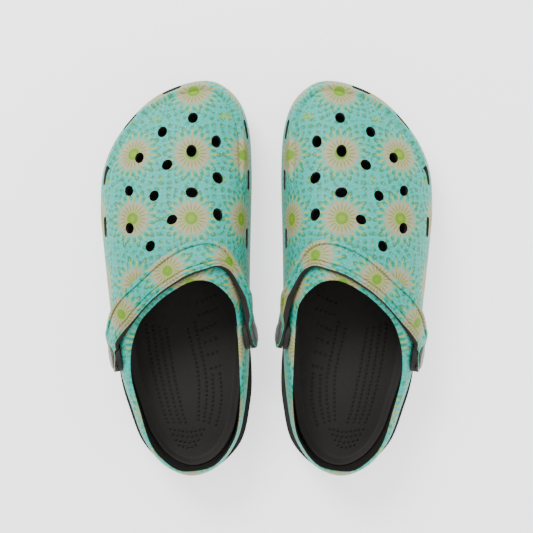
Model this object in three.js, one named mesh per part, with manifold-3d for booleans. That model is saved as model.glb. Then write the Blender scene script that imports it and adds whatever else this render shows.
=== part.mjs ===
// A pair of moulded foam garden clogs: each is a vented upper on a black sole unit, with a loose footbed
// inside and a heel strap that swings on two snap rivets. Millimetres, +Z up, +Y towards the toes.
// One clog is built as a right shoe, with +X to its outer side, and the left one is its mirror image.
import * as THREE from "three";
import { LoftGeometry } from "three/addons/geometries/LoftGeometry.js";
import { mergeVertices } from "three/addons/utils/BufferGeometryUtils.js";
import Module from "manifold-3d";

const wasm = await Module();
wasm.setup();

// ---------------------------------------------------------------- driving sizes
const LENGTH = 290; // of the upper, heel to toe
const WIDTH = 112; // of the upper, across the ball of the foot
const THROAT_HEIGHT = 88; // of the vamp's edge at the foot opening, above the ground
const PAIR_SPACING = 132; // between the two clogs' own centre lines

const GAP = 0.3; // left between pieces that touch
const UPPER_WALL = 4.6; // the upper's side wall, measured flat
const RIM_EDGE = 3.2; // the upper's thickness at the edge of the opening
const SHOULDER = 49; // how far in from the outline the vamp reaches its full height
const SHOULDER_SKEW = 8; // the outer shoulder is this much broader, and the inner one this much tighter
const ROUNDNESS = 2.5; // exponent of the shoulder's curve

const SOLE_AT_HEEL = 24; // side wall of the sole unit
const SOLE_AT_BALL = 18;
const TOE_SPRING = 11; // how far the sole's tip curves off the ground
const HEEL_SPRING = 4;
const SOLE_FLARE = 3.4; // how far the sole stands out beside the heel
const SOLE_FLARE_BEHIND = 0.5; // and behind it
const FORE_SOLE_INSET = 0.8; // how far it hides under the forefoot
const SOLE_EDGE = 3; // the sole's lower edge is rounded by this much
const SOLE_LIP = 1.4;

const FOOTBED_THICKNESS = 5;
const FOOTBED_DROP = 4; // below the top of the sole's side wall
const FOOTBED_CURL = 2.5; // how far the footbed's edge turns up

const VENT_HALF_LENGTH = 4;
const VENT_HALF_WIDTH = 3.3;
const SLOT_LENGTH = 15;
const SLOT_HEIGHT = 5.5;

const RIVET_HEIGHT = 50;
const RIVET_HEAD_RADIUS = 8.5;
const RIVET_HEAD_THICKNESS = 2.2;
const RIVET_HEAD_RECESS = 1.1;
const RIVET_STEM_RADIUS = 2.9;
const RIVET_TUBE_RADIUS = 4.6;
const RIVET_CAP_RADIUS = 7.6;
const RIVET_CAP_THICKNESS = 1.8;
const BOSS_PROUD = 1.3; // the upper's flat seat for the strap, past the wall beside the rivet

const STRAP_WIDTH = 21;
const STRAP_THICKNESS = 3.8;
const STRAP_END_RADIUS = 11.2;
const STRAP_LIFT = 0.9; // clearance under the strap, where it rests on the vamp
const STRAP_END_LIFT = 2.1; // more clearance beside the rivets

const AROUND = 48; // steps round the shoe
const UP = 7; // steps from the sole to the opening's edge
const ROUND_STEPS = 12;
const STRAP_STEP = 14.5; // of the clog's length for each step along the strap
const FINEST = 0.01; // smaller features than this are smoothed away

// The shape of a clog 290 long and 112 wide, as stations anticlockwise from the back of the heel:
// [outline x, y, opening's edge x, y, z]
const STATIONS = [
  [-11, -145, -11, -139.4, 58],
  [9, -137.3, 2, -136, 58],
  [24, -119, 16.5, -121, 58],
  [33.5, -94, 25.5, -94, 57.5],
  [40.5, -72, 30.9, -72, 58.5],
  [44, -52, 31, -54, 61],
  [48, -32, 27.5, -40, 65],
  [51, -8, 22.5, -30, 70],
  [54.5, 22, 15, -22, 75.5],
  [57, 52, 6.5, -14.5, 80],
  [54.5, 82, -1, -9.5, 83.5],
  [42, 108, -8, -5.5, 86],
  [20, 131, -14, -3.2, 87.4],
  [-6, 143, -19, -2.4, 88],
  [-28, 144.2, -24, -2.8, 87.8],
  [-45, 131.5, -28.5, -4.2, 86.5],
  [-53, 110, -32.5, -6.8, 84],
  [-55, 80, -36.5, -10.2, 80.5],
  [-54.5, 45, -40, -14.5, 76],
  [-53.8, 12, -43, -20, 71],
  [-53.6, -15, -44.6, -29, 65.5],
  [-53.5, -42, -45.6, -45, 61],
  [-52.8, -68, -46.6, -66, 58.5],
  [-50.5, -93, -47, -90, 57.5],
  [-45, -118.5, -43.5, -114.5, 58],
  [-31, -138, -30, -134, 58],
];
const SCALE = new THREE.Vector3(WIDTH / 112, LENGTH / 290, THROAT_HEIGHT / 88);
const OUTER_RIVET_STATION = 4.75;
const INNER_RIVET_STATION = 20.95;

// Oval vents in the vamp, [x, y, turn of the long way from +Y towards +X in degrees]
const VENTS = [
  [-13.2, 114.7, -10], [8.6, 104.5, -15], [-30.1, 97.4, 5], [-12.5, 90.3, 0], [24.8, 85.7, -10],
  [4.6, 80.3, -40], [-31.5, 71, 60], [32, 62, 0], [13.5, 58.2, -25], [-13, 60.3, 80],
  [-31.7, 44.7, 45], [0.5, 41.2, -50], [31.6, 35.3, -10], [16.2, 23, -35],
];
// Slots low in its sides, [station, height of the middle as a share of the dome's]
const SLOTS = [
  [8.47, 0.55], [9.76, 0.55], [11.32, 0.4], [12.6, 0.4], [16.05, 0.45], [17.26, 0.45], [18.49, 0.45],
];

// The strap's front and rear edges from the outer rivet to the inner one, before they are laid on the vamp:
// [front x, y, z, rear x, y, z]
const STRAP_EDGES = [
  [44, -40, 47, 39, -49, 61],
  [41.2, -29, 55, 35.2, -42, 65],
  [35.8, -16.5, 64, 28.3, -31.5, 69],
  [25, -3.2, 72, 16.1, -18, 77],
  [12.5, 8.9, 78, 4.4, -8.7, 84],
  [-3.9, 20.6, 82, -9.6, 0.2, 88],
  [-23.3, 26.9, 84, -23.3, 5.8, 90],
  [-36.8, 22.9, 80, -34.2, 8.4, 88],
  [-44.6, 12.8, 75, -41.8, 4.4, 82],
  [-48.4, 0.8, 67, -46.2, -5.5, 76],
  [-50.6, -14.5, 57, -48.6, -17.5, 68],
];

// ---------------------------------------------------------------- colours
const printedFoam = new THREE.MeshStandardMaterial({ color: 0x7fd3c3, roughness: 0.75, metalness: 0 });
const blackFoam = new THREE.MeshStandardMaterial({ color: 0x1b1a17, roughness: 0.85, metalness: 0 });
const greyPlastic = new THREE.MeshStandardMaterial({ color: 0x686468, roughness: 0.45, metalness: 0 });

// ---------------------------------------------------------------- solids
function solidOf(geometry) {
  const bare = new THREE.BufferGeometry().copy(geometry);
  bare.deleteAttribute("normal");
  bare.deleteAttribute("uv");
  const merged = mergeVertices(bare, 1e-3);
  const mesh = new wasm.Mesh({
    numProp: 3,
    vertProperties: merged.attributes.position.array,
    triVerts: new Uint32Array(merged.index.array),
  });
  return new wasm.Manifold(mesh);
}

function geometryOf(solid) {
  const { vertProperties, triVerts } = solid.getMesh();
  return new THREE.BufferGeometry()
    .setAttribute("position", new THREE.BufferAttribute(vertProperties, 3))
    .setIndex(new THREE.BufferAttribute(triVerts, 1));
}

const joined = (solid, ...others) => others.reduce((sum, other) => sum.add(other), solid);
const cut = (solid, ...tools) => tools.reduce((rest, tool) => rest.subtract(tool), solid);


// ---------------------------------------------------------------- the last: outline, heights and dome
const closedCurve = (points) => new THREE.CatmullRomCurve3(points, true, "catmullrom", 0.5);
const outlineCurve = closedCurve(STATIONS.map(([x, y]) => new THREE.Vector3(x, y, 0).multiply(SCALE)));
const rimCurve = closedCurve(STATIONS.map(([, , x, y, z]) => new THREE.Vector3(x, y, z).multiply(SCALE)));
const OUTLINE_POINTS = outlineCurve.getPoints(6 * AROUND);
const TOE_Y = Math.max(...OUTLINE_POINTS.map((p) => p.y));
const HEEL_Y = Math.min(...OUTLINE_POINTS.map((p) => p.y));
const BALL_Y = 20 * SCALE.y;
const ARCH_Y = -100 * SCALE.y;
const THROAT_Y = -10 * SCALE.y;
const TOE_ROCKER_Y = 80 * SCALE.y;
const HEEL_ROCKER_Y = -118 * SCALE.y;
const FLARE_START_Y = -30 * SCALE.y;
const FLARE_FULL_Y = -92 * SCALE.y;
const TOE_CEILING = 54 * SCALE.z;
const THROAT_CEILING = THROAT_HEIGHT + 2;

const onOutline = (t) => outlineCurve.getPoint(THREE.MathUtils.euclideanModulo(t, 1));
const onRim = (t) => rimCurve.getPoint(THREE.MathUtils.euclideanModulo(t, 1));

function inwardAt(t) {
  const along = onOutline(t + 1e-4).sub(onOutline(t - 1e-4)).normalize();
  return new THREE.Vector3(-along.y, along.x, 0);
}

function groundHeight(y) {
  const toe = Math.max(0, (y - TOE_ROCKER_Y) / (TOE_Y - TOE_ROCKER_Y));
  const heel = Math.max(0, (HEEL_ROCKER_Y - y) / (HEEL_ROCKER_Y - HEEL_Y));
  return TOE_SPRING * toe * toe + HEEL_SPRING * heel * heel;
}

function soleTop(y) {
  const towardsBall = THREE.MathUtils.smoothstep(y, ARCH_Y, BALL_Y);
  return groundHeight(Math.min(y, TOE_Y)) + THREE.MathUtils.lerp(SOLE_AT_HEEL, SOLE_AT_BALL, towardsBall);
}

const footbedTop = (y) => soleTop(y) - FOOTBED_DROP;

function distanceToOutline(x, y) {
  let nearest = Infinity;
  for (let i = 1; i < OUTLINE_POINTS.length; i++) {
    const a = OUTLINE_POINTS[i - 1];
    const b = OUTLINE_POINTS[i];
    const along = ((x - a.x) * (b.x - a.x) + (y - a.y) * (b.y - a.y)) / a.distanceToSquared(b);
    const share = THREE.MathUtils.clamp(along, 0, 1);
    nearest = Math.min(nearest, Math.hypot(x - a.x - share * (b.x - a.x), y - a.y - share * (b.y - a.y)));
  }
  return nearest;
}

function shoulderAt(x) {
  return SHOULDER + SHOULDER_SKEW * THREE.MathUtils.clamp((2 * x) / WIDTH, -1, 1);
}

function ceilingAt(y) {
  const forward = Math.max(0, (y - THROAT_Y) / (TOE_Y - THROAT_Y));
  return THREE.MathUtils.lerp(THROAT_CEILING, TOE_CEILING, forward);
}

// Height of the dome over a point of the plan. Its inner face lies the wall's thickness further in.
function domeHeight(x, y, inset = 0, lowered = 0) {
  const share = Math.min(1, Math.max(0, distanceToOutline(x, y) - inset) / (shoulderAt(x) - inset));
  const rise = Math.pow(1 - Math.pow(1 - share, ROUNDNESS), 1 / ROUNDNESS);
  return soleTop(y) + (ceilingAt(y) - lowered - soleTop(y)) * rise;
}

// A point of the upper: t runs round the shoe, up from the sole to the edge of the opening.
function upperPoint(t, up, inset = 0, lowered = 0) {
  const inward = inwardAt(t);
  const foot = onOutline(t).addScaledVector(inward, inset);
  const rim = onRim(t);
  const reach = Math.hypot(rim.x - foot.x, rim.y - foot.y);
  const path = new THREE.CubicBezierCurve3(
    foot,
    foot.clone().addScaledVector(inward, 0.3 * reach),
    rim.clone().lerp(foot, 0.3),
    rim,
  );
  const point = path.getPoint(up);
  const mismatch = rim.z - lowered - domeHeight(rim.x, rim.y, inset, lowered);
  point.z = domeHeight(point.x, point.y, inset, lowered) + mismatch * up * up;
  return point;
}

function upperNormal(t, up) {
  const round = upperPoint(t + 1e-4, up).sub(upperPoint(t - 1e-4, up));
  const climb = upperPoint(t, Math.min(1, up + 1e-3)).sub(upperPoint(t, Math.max(0, up - 1e-3)));
  return round.cross(climb).normalize();
}

// ---------------------------------------------------------------- rivet pivots
// Where the upper's wall reaches a height, near a station of the outline.
function wallPoint(station, height) {
  const t = station / STATIONS.length;
  const foot = onOutline(t);
  const share = (height - soleTop(foot.y)) / (ceilingAt(foot.y) - soleTop(foot.y));
  const inset = shoulderAt(foot.x) * (1 - Math.pow(1 - Math.pow(share, ROUNDNESS), 1 / ROUNDNESS));
  return foot.addScaledVector(inwardAt(t), inset).setZ(height);
}

const outerWall = wallPoint(OUTER_RIVET_STATION, RIVET_HEIGHT);
const innerWall = wallPoint(INNER_RIVET_STATION, RIVET_HEIGHT);
const hingeAxis = outerWall.clone().sub(innerWall).normalize();

// A rivet's frame: its origin on the wall, +Y out along the hinge line, +X down.
function rivetFrame(wall, outward) {
  const down = new THREE.Vector3(0, 0, -1);
  const basis = new THREE.Matrix4().makeBasis(down, outward, down.clone().cross(outward));
  return basis.setPosition(wall);
}

const RIVETS = [
  { side: "outer", frame: rivetFrame(outerWall, hingeAxis.clone()), tilt: THREE.MathUtils.degToRad(14) },
  { side: "inner", frame: rivetFrame(innerWall, hingeAxis.clone().negate()), tilt: THREE.MathUtils.degToRad(12) },
];
const STRAP_SEAT = BOSS_PROUD + GAP; // of the strap's inner face, out from the wall

// A round bar along a rivet's own +Y axis, between two places on it, and in the clog's frame if asked.
function bar(radius, from, to, steps = ROUND_STEPS) {
  return new THREE.CylinderGeometry(radius, radius, to - from, steps).translate(0, (from + to) / 2, 0);
}
const onRivet = (geometry, rivet) => geometry.applyMatrix4(rivet.frame);

// ---------------------------------------------------------------- upper
function upperShell() {
  const sections = [];
  for (let i = 0; i <= AROUND; i++) {
    const t = i / AROUND;
    const section = [];
    for (let j = 0; j <= UP; j++) section.push(upperPoint(t, Math.pow(j / UP, 2), UPPER_WALL, RIM_EDGE));
    for (let j = UP; j >= 0; j--) section.push(upperPoint(t, Math.pow(j / UP, 2)));
    for (const foot of [section[0], section[section.length - 1]]) foot.z = soleTop(foot.y) + GAP;
    sections.push(section);
  }
  sections[AROUND] = sections[0].map((point) => point.clone());
  return solidOf(new LoftGeometry(sections));
}

function ventCutter([x, y, degrees]) {
  const [px, py] = [x * SCALE.x, y * SCALE.y];
  const slopeX = domeHeight(px + 0.5, py) - domeHeight(px - 0.5, py);
  const slopeY = domeHeight(px, py + 0.5) - domeHeight(px, py - 0.5);
  const outward = new THREE.Vector3(-slopeX, -slopeY, 1).normalize();
  const turn = new THREE.Quaternion().setFromUnitVectors(new THREE.Vector3(0, 1, 0), outward);
  return new THREE.CylinderGeometry(1, 1, 6 * UPPER_WALL, 8)
    .scale(VENT_HALF_WIDTH, 1, VENT_HALF_LENGTH)
    .rotateY(-THREE.MathUtils.degToRad(degrees))
    .applyQuaternion(turn)
    .translate(px, py, domeHeight(px, py));
}

function slotCutter([station, share]) {
  const t = station / STATIONS.length;
  const { y } = onOutline(t);
  const middle = wallPoint(station, soleTop(y) + share * (ceilingAt(y) - soleTop(y)));
  const inward = inwardAt(t);
  const straight = (SLOT_LENGTH - SLOT_HEIGHT) / 2;
  const outline = new THREE.Shape();
  outline.absarc(straight, 0, SLOT_HEIGHT / 2, -Math.PI / 2, Math.PI / 2, false);
  outline.absarc(-straight, 0, SLOT_HEIGHT / 2, Math.PI / 2, (3 * Math.PI) / 2, false);
  const depth = 5 * UPPER_WALL;
  const along = new THREE.Vector3(0, 0, 1).cross(inward);
  const basis = new THREE.Matrix4().makeBasis(along, new THREE.Vector3(0, 0, 1), inward);
  return new THREE.ExtrudeGeometry(outline, { depth, bevelEnabled: false, curveSegments: 3 })
    .translate(0, 0, -depth / 2)
    .applyMatrix4(basis.setPosition(middle));
}

function makeUpper() {
  const bosses = RIVETS.map((rivet) =>
    solidOf(onRivet(bar(STRAP_END_RADIUS, -UPPER_WALL / 2, BOSS_PROUD, 2 * ROUND_STEPS), rivet)),
  );
  const seatCuts = RIVETS.flatMap((rivet) => [
    solidOf(onRivet(bar(STRAP_END_RADIUS + 1, BOSS_PROUD, 4 * UPPER_WALL, 2 * ROUND_STEPS), rivet)),
    solidOf(onRivet(bar(RIVET_TUBE_RADIUS + GAP, -4 * UPPER_WALL, 4 * UPPER_WALL), rivet)),
    solidOf(onRivet(bar(RIVET_CAP_RADIUS + 1, -4 * UPPER_WALL, -UPPER_WALL), rivet)),
  ]);
  const vents = VENTS.map((vent) => solidOf(ventCutter(vent)));
  const slots = SLOTS.map((slot) => solidOf(slotCutter(slot)));
  return cut(joined(upperShell(), ...bosses), ...seatCuts, ...vents, ...slots).simplify(FINEST);
}

// ---------------------------------------------------------------- sole unit and footbed
const SPINE_SHARE = 0.7; // a flat face closes in on a line this share of the length

// A ring round the shoe, drawn in towards the line down its middle. At share 0 its two sides meet on that line.
function ring(inset, height, share = 1) {
  const points = [];
  for (let i = 0; i < AROUND; i++) {
    const edge = onOutline(i / AROUND);
    const opposite = onOutline((AROUND - i) / AROUND);
    const spine = new THREE.Vector3(-5 * SCALE.x, (SPINE_SHARE * (edge.y + opposite.y)) / 2, 0);
    edge.addScaledVector(inwardAt(i / AROUND), typeof inset === "function" ? inset(edge.y) : inset);
    const point = spine.lerp(edge, share);
    points.push(point.setZ(height(point.y)));
  }
  return points;
}

// The sole stands out beside the heel and hides under the forefoot.
function soleInset(y) {
  const heelward = THREE.MathUtils.smoothstep(-y, -FLARE_START_Y, -FLARE_FULL_Y);
  const behind = THREE.MathUtils.smoothstep(-y, -HEEL_ROCKER_Y, -HEEL_Y);
  const beside = THREE.MathUtils.lerp(FORE_SOLE_INSET, -SOLE_FLARE, heelward);
  return THREE.MathUtils.lerp(beside, -SOLE_FLARE_BEHIND, behind);
}

function makeOutsole() {
  const cupFloor = (y) => footbedTop(y) - FOOTBED_THICKNESS - 2 * GAP;
  return new LoftGeometry([
    ring((y) => soleInset(y) + SOLE_EDGE, groundHeight, 0),
    ring((y) => soleInset(y) + SOLE_EDGE, groundHeight, 0.65),
    ring((y) => soleInset(y) + SOLE_EDGE, groundHeight),
    ring((y) => soleInset(y) + SOLE_EDGE / 4, (y) => groundHeight(y) + SOLE_EDGE),
    ring(soleInset, (y) => (groundHeight(y) + soleTop(y)) / 2),
    ring(soleInset, (y) => soleTop(y) - SOLE_LIP),
    ring((y) => soleInset(y) + SOLE_LIP / 2, soleTop),
    ring(UPPER_WALL, soleTop),
    ring(UPPER_WALL, cupFloor),
    ring(UPPER_WALL, cupFloor, 0.65),
    ring(UPPER_WALL, cupFloor, 0),
  ]);
}

function makeFootbed() {
  const edge = UPPER_WALL + GAP;
  const underside = (y) => footbedTop(y) - FOOTBED_THICKNESS;
  return new LoftGeometry([
    ring(edge, underside, 0),
    ring(edge, underside, 0.65),
    ring(edge, underside),
    ring(edge, (y) => footbedTop(y) + FOOTBED_CURL),
    ring(edge, (y) => footbedTop(y) + FOOTBED_CURL, 0.97),
    ring(edge, footbedTop, 0.86),
    ring(edge, footbedTop, 0.5),
    ring(edge, footbedTop, 0),
  ]);
}

// ---------------------------------------------------------------- heel strap
const SKIN = [];
for (let i = 0; i < 4 * AROUND; i++) {
  for (let j = 1; j <= 24; j++) {
    const [t, up] = [i / (4 * AROUND), Math.pow(j / 24, 3)];
    SKIN.push({ t, up, point: upperPoint(t, up) });
  }
}

// The same point laid on the upper, clear of it by the given lift.
function laidOnUpper(point, lift) {
  let best = SKIN[0];
  for (const skin of SKIN) {
    if (skin.point.distanceToSquared(point) < best.point.distanceToSquared(point)) best = skin;
  }
  const normal = upperNormal(best.t, best.up);
  return point.clone().addScaledVector(normal, lift - point.clone().sub(best.point).dot(normal));
}

const ACROSS = [0, 0.25, 0.5, 0.75, 1]; // places across the strap, from its front edge to its rear one

// One cross-section of the strap: its inner face from front to rear, then its outer face back.
function strapSection(inner, outward, frontThickness, rearThickness) {
  const outer = inner.map((point, i) => {
    const thickness = THREE.MathUtils.lerp(frontThickness, rearThickness, ACROSS[i]);
    return point.clone().addScaledVector(outward, thickness);
  });
  return [...inner, ...outer.reverse()];
}

function strapEnd(rivet, direction) {
  const seat = new THREE.Vector3(0, STRAP_SEAT, 0).applyMatrix4(rivet.frame);
  const outward = new THREE.Vector3().setFromMatrixColumn(rivet.frame, 1);
  const across = outward.clone().cross(direction).normalize().multiplyScalar(STRAP_WIDTH);
  if (across.z < 0) across.negate();
  const inner = ACROSS.map((share) => seat.clone().addScaledVector(across, share - 0.5));
  const wedge = (STRAP_WIDTH / 2) * Math.tan(rivet.tilt);
  return strapSection(inner, outward, STRAP_THICKNESS + wedge, STRAP_THICKNESS - wedge);
}

// The round end of the strap: a disc whose outer face leans back by the rivet's tilt.
function strapDisc(rivet) {
  const disc = bar(STRAP_END_RADIUS, STRAP_SEAT, STRAP_SEAT + STRAP_THICKNESS, 2 * ROUND_STEPS);
  const places = disc.attributes.position;
  for (let i = 0; i < places.count; i++) {
    if (places.getY(i) > STRAP_SEAT + STRAP_THICKNESS / 2)
      places.setY(i, places.getY(i) + places.getX(i) * Math.tan(rivet.tilt));
  }
  return solidOf(onRivet(disc, rivet));
}

// The shallow round seat in the strap's leaning outer face, for the rivet's head.
function headSeat(rivet) {
  return bar(RIVET_HEAD_RADIUS + GAP, -RIVET_HEAD_RECESS, 4 * STRAP_THICKNESS, 2 * ROUND_STEPS)
    .rotateZ(rivet.tilt)
    .translate(0, STRAP_SEAT + STRAP_THICKNESS, 0);
}

function makeStrap() {
  const point = (x, y, z) => new THREE.Vector3(x, y, z).multiply(SCALE);
  const edges = STRAP_EDGES.map(([fx, fy, fz, rx, ry, rz]) => ({ front: point(fx, fy, fz), rear: point(rx, ry, rz) }));
  const forward = edges[5].front.clone().add(edges[5].rear).multiplyScalar(0.5).sub(outerWall);
  forward.addScaledVector(hingeAxis, -forward.dot(hingeAxis)).normalize();
  const fronts = new THREE.CatmullRomCurve3(edges.map((edge) => edge.front), false, "catmullrom", 0.5);
  const rears = new THREE.CatmullRomCurve3(edges.map((edge) => edge.rear), false, "catmullrom", 0.5);
  const steps = Math.ceil(LENGTH / STRAP_STEP);
  const laid = [];
  for (let i = 0; i <= steps; i++) {
    const lift = STRAP_LIFT + STRAP_END_LIFT * Math.pow((2 * i) / steps - 1, 4);
    const front = laidOnUpper(fronts.getPoint(i / steps), lift);
    const rear = laidOnUpper(rears.getPoint(i / steps), lift);
    laid.push(ACROSS.map((share) => laidOnUpper(front.clone().lerp(rear, share), lift)));
  }
  const sections = laid.map((inner, i) => {
    const before = laid[Math.max(0, i - 1)][2];
    const after = laid[Math.min(steps, i + 1)][2];
    const outward = after.clone().sub(before).cross(inner[4].clone().sub(inner[0])).normalize();
    return strapSection(inner, outward, STRAP_THICKNESS, STRAP_THICKNESS);
  });
  const band = new LoftGeometry([strapEnd(RIVETS[0], forward), ...sections, strapEnd(RIVETS[1], forward)], {
    capStart: true,
    capEnd: true,
  });
  const cuts = RIVETS.flatMap((rivet) => [
    solidOf(onRivet(bar(STRAP_END_RADIUS + 1, -STRAP_WIDTH, STRAP_SEAT, 2 * ROUND_STEPS), rivet)),
    solidOf(onRivet(bar(RIVET_TUBE_RADIUS + GAP, 0, STRAP_WIDTH), rivet)),
    solidOf(onRivet(headSeat(rivet), rivet)),
  ]);
  return cut(joined(solidOf(band), ...RIVETS.map(strapDisc)), ...cuts).simplify(FINEST);
}

// ---------------------------------------------------------------- rivets
// A rivet is two halves, snapped together through the strap and the upper: a headed button outside, with a
// stem, and a capped socket inside, whose tube is what the strap turns on.
function makeButton(rivet) {
  const edge = RIVET_HEAD_RADIUS;
  const thick = RIVET_HEAD_THICKNESS;
  const profile = [
    [0, 0],
    [edge - 0.6, 0],
    [edge, 0.5],
    [edge - 0.3, thick - 0.7],
    [edge - 1.2, thick - 0.1],
    [0, thick],
  ];
  const head = new THREE.LatheGeometry(
    profile.map(([radius, height]) => new THREE.Vector2(radius, height)),
    2 * ROUND_STEPS,
  );
  head.translate(0, GAP - RIVET_HEAD_RECESS, 0).rotateZ(rivet.tilt);
  head.translate(0, STRAP_SEAT + STRAP_THICKNESS, 0);
  const stem = bar(RIVET_STEM_RADIUS, -UPPER_WALL, STRAP_SEAT + STRAP_THICKNESS, ROUND_STEPS);
  return solidOf(head).add(solidOf(stem));
}

function makeSocket() {
  const capFace = -UPPER_WALL - GAP;
  const cap = bar(RIVET_CAP_RADIUS, capFace - RIVET_CAP_THICKNESS, capFace, 2 * ROUND_STEPS);
  const tubeEnd = STRAP_SEAT + STRAP_THICKNESS / 3;
  const tube = bar(RIVET_TUBE_RADIUS, capFace - RIVET_CAP_THICKNESS / 2, tubeEnd);
  const bore = bar(RIVET_STEM_RADIUS + GAP, -UPPER_WALL - GAP, tubeEnd + 1);
  return solidOf(cap).add(solidOf(tube)).subtract(solidOf(bore));
}

// ---------------------------------------------------------------- assembly
const pieces = {
  upper: [geometryOf(makeUpper()), printedFoam],
  outsole: [geometryOf(solidOf(makeOutsole())), blackFoam],
  footbed: [geometryOf(solidOf(makeFootbed())), blackFoam],
  heel_strap: [geometryOf(makeStrap()), printedFoam],
};
const socket = geometryOf(makeSocket());
for (const rivet of RIVETS) rivet.button = geometryOf(makeButton(rivet));

function makeClog(name) {
  const clog = new THREE.Group();
  for (const [piece, [geometry, material]] of Object.entries(pieces)) {
    const mesh = new THREE.Mesh(geometry, material);
    mesh.name = `${name}_${piece}`;
    clog.add(mesh);
  }
  for (const rivet of RIVETS) {
    const pivot = new THREE.Group();
    rivet.frame.decompose(pivot.position, pivot.quaternion, pivot.scale);
    for (const half of ["button", "socket"]) {
      const mesh = new THREE.Mesh(half === "button" ? rivet.button : socket, greyPlastic);
      mesh.name = `${name}_${rivet.side}_rivet_${half}`;
      pivot.add(mesh);
    }
    clog.add(pivot);
  }
  return clog;
}

const pair = new THREE.Group();
const right = makeClog("right");
right.position.x = PAIR_SPACING / 2;
const left = makeClog("left");
left.position.x = -PAIR_SPACING / 2;
left.scale.x = -1;
pair.add(right, left);

// The pair stands on z = 0, with its origin under the middle of its own box.
const size = new THREE.Box3().setFromObject(pair);
pair.position.y = -(size.min.y + size.max.y) / 2;

export default pair;
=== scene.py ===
import math

import bmesh
import bpy
import numpy as np
from mathutils import Matrix, Vector


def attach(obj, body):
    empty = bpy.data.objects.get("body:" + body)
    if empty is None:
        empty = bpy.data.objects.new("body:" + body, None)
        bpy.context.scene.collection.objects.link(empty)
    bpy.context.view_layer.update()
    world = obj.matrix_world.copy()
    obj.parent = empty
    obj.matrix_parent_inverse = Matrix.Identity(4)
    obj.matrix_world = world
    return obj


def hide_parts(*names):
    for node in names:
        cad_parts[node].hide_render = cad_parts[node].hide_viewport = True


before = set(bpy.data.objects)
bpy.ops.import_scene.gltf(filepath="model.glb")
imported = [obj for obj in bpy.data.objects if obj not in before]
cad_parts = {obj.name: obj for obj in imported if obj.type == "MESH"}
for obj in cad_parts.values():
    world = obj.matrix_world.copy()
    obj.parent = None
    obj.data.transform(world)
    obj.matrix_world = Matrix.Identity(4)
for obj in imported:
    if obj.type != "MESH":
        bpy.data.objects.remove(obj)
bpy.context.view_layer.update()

# ---------------------------------------------------------------- the uppers
# Each upper is one injection-moulded shell of closed-cell EVA foam, black right through, with a flower print
# heat-transferred onto its outside. Oval vents and side slots are moulded through it, so they show the black.

STATIONS = np.array([  # anticlockwise from the back of the heel: outline x, y, then the opening's edge x, y, z
    [-11, -145, -11, -139.4, 58], [9, -137.3, 2, -136, 58], [24, -119, 16.5, -121, 58],
    [33.5, -94, 25.5, -94, 57.5], [40.5, -72, 30.9, -72, 58.5], [44, -52, 31, -54, 61],
    [48, -32, 27.5, -40, 65], [51, -8, 22.5, -30, 70], [54.5, 22, 15, -22, 75.5],
    [57, 52, 6.5, -14.5, 80], [54.5, 82, -1, -9.5, 83.5], [42, 108, -8, -5.5, 86],
    [20, 131, -14, -3.2, 87.4], [-6, 143, -19, -2.4, 88], [-28, 144.2, -24, -2.8, 87.8],
    [-45, 131.5, -28.5, -4.2, 86.5], [-53, 110, -32.5, -6.8, 84], [-55, 80, -36.5, -10.2, 80.5],
    [-54.5, 45, -40, -14.5, 76], [-53.8, 12, -43, -20, 71], [-53.6, -15, -44.6, -29, 65.5],
    [-53.5, -42, -45.6, -45, 61], [-52.8, -68, -46.6, -66, 58.5], [-50.5, -93, -47, -90, 57.5],
    [-45, -118.5, -43.5, -114.5, 58], [-31, -138, -30, -134, 58],
], float)
HALF_SPACING, FORWARD = 66.0, 0.1504  # from a clog's own frame to the pair's
UPPER_WALL, RIM_EDGE = 4.6, 3.2
GAP = 0.3  # between pieces that touch
SHOULDER, SHOULDER_SKEW, ROUNDNESS = 49.0, 8.0, 2.5
SOLE_AT_HEEL, SOLE_AT_BALL, TOE_SPRING, HEEL_SPRING = 24.0, 18.0, 11.0, 4.0
THROAT_CEILING, TOE_CEILING = 90.0, 54.0
HALF_WIDTH = 56.0


def smooth(value, low, high):
    """0 below low, 1 above high, and an even S between them."""
    share = np.clip((value - low) / (high - low), 0, 1)
    return share * share * (3 - 2 * share)


def spline(points, at, closed=True):
    """A cardinal curve through the points, at shares of its length in steps."""
    count = len(points)
    place = np.mod(at, 1) * count if closed else np.clip(at, 0, 1) * (count - 1)
    first = np.floor(place).astype(int)
    if not closed:
        first = np.minimum(first, count - 2)
        points = np.vstack([2 * points[:1] - points[1:2], points, 2 * points[-1:] - points[-2:-1]])
        before, start, end, after = (points[first + i] for i in range(4))
    else:
        before, start, end, after = (points[(first + i) % count] for i in (-1, 0, 1, 2))
    w = (place - first)[..., None]
    lean_in, lean_out = 0.5 * (end - before), 0.5 * (after - start)
    return (
        start
        + lean_in * w
        + (-3 * start + 3 * end - 2 * lean_in - lean_out) * w**2
        + (2 * start - 2 * end + lean_in + lean_out) * w**3
    )


OUTLINE = spline(STATIONS[:, :2], np.arange(1040) / 1040)
TOE_Y, HEEL_Y = OUTLINE[:, 1].max(), OUTLINE[:, 1].min()


def inward(t):
    """The level direction into the shoe, square to its outline."""
    along = spline(STATIONS[:, :2], t + 1e-4) - spline(STATIONS[:, :2], t - 1e-4)
    along /= np.linalg.norm(along, axis=-1, keepdims=True)
    return np.stack([-along[..., 1], along[..., 0]], -1)


def ground_height(y):
    toe = np.maximum(0, (y - 80) / (TOE_Y - 80))
    heel = np.maximum(0, (-118 - y) / (-118 - HEEL_Y))
    return TOE_SPRING * toe**2 + HEEL_SPRING * heel**2


def sole_top(y):
    return ground_height(np.minimum(y, TOE_Y)) + SOLE_AT_HEEL + (SOLE_AT_BALL - SOLE_AT_HEEL) * smooth(y, -100, 20)


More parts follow.
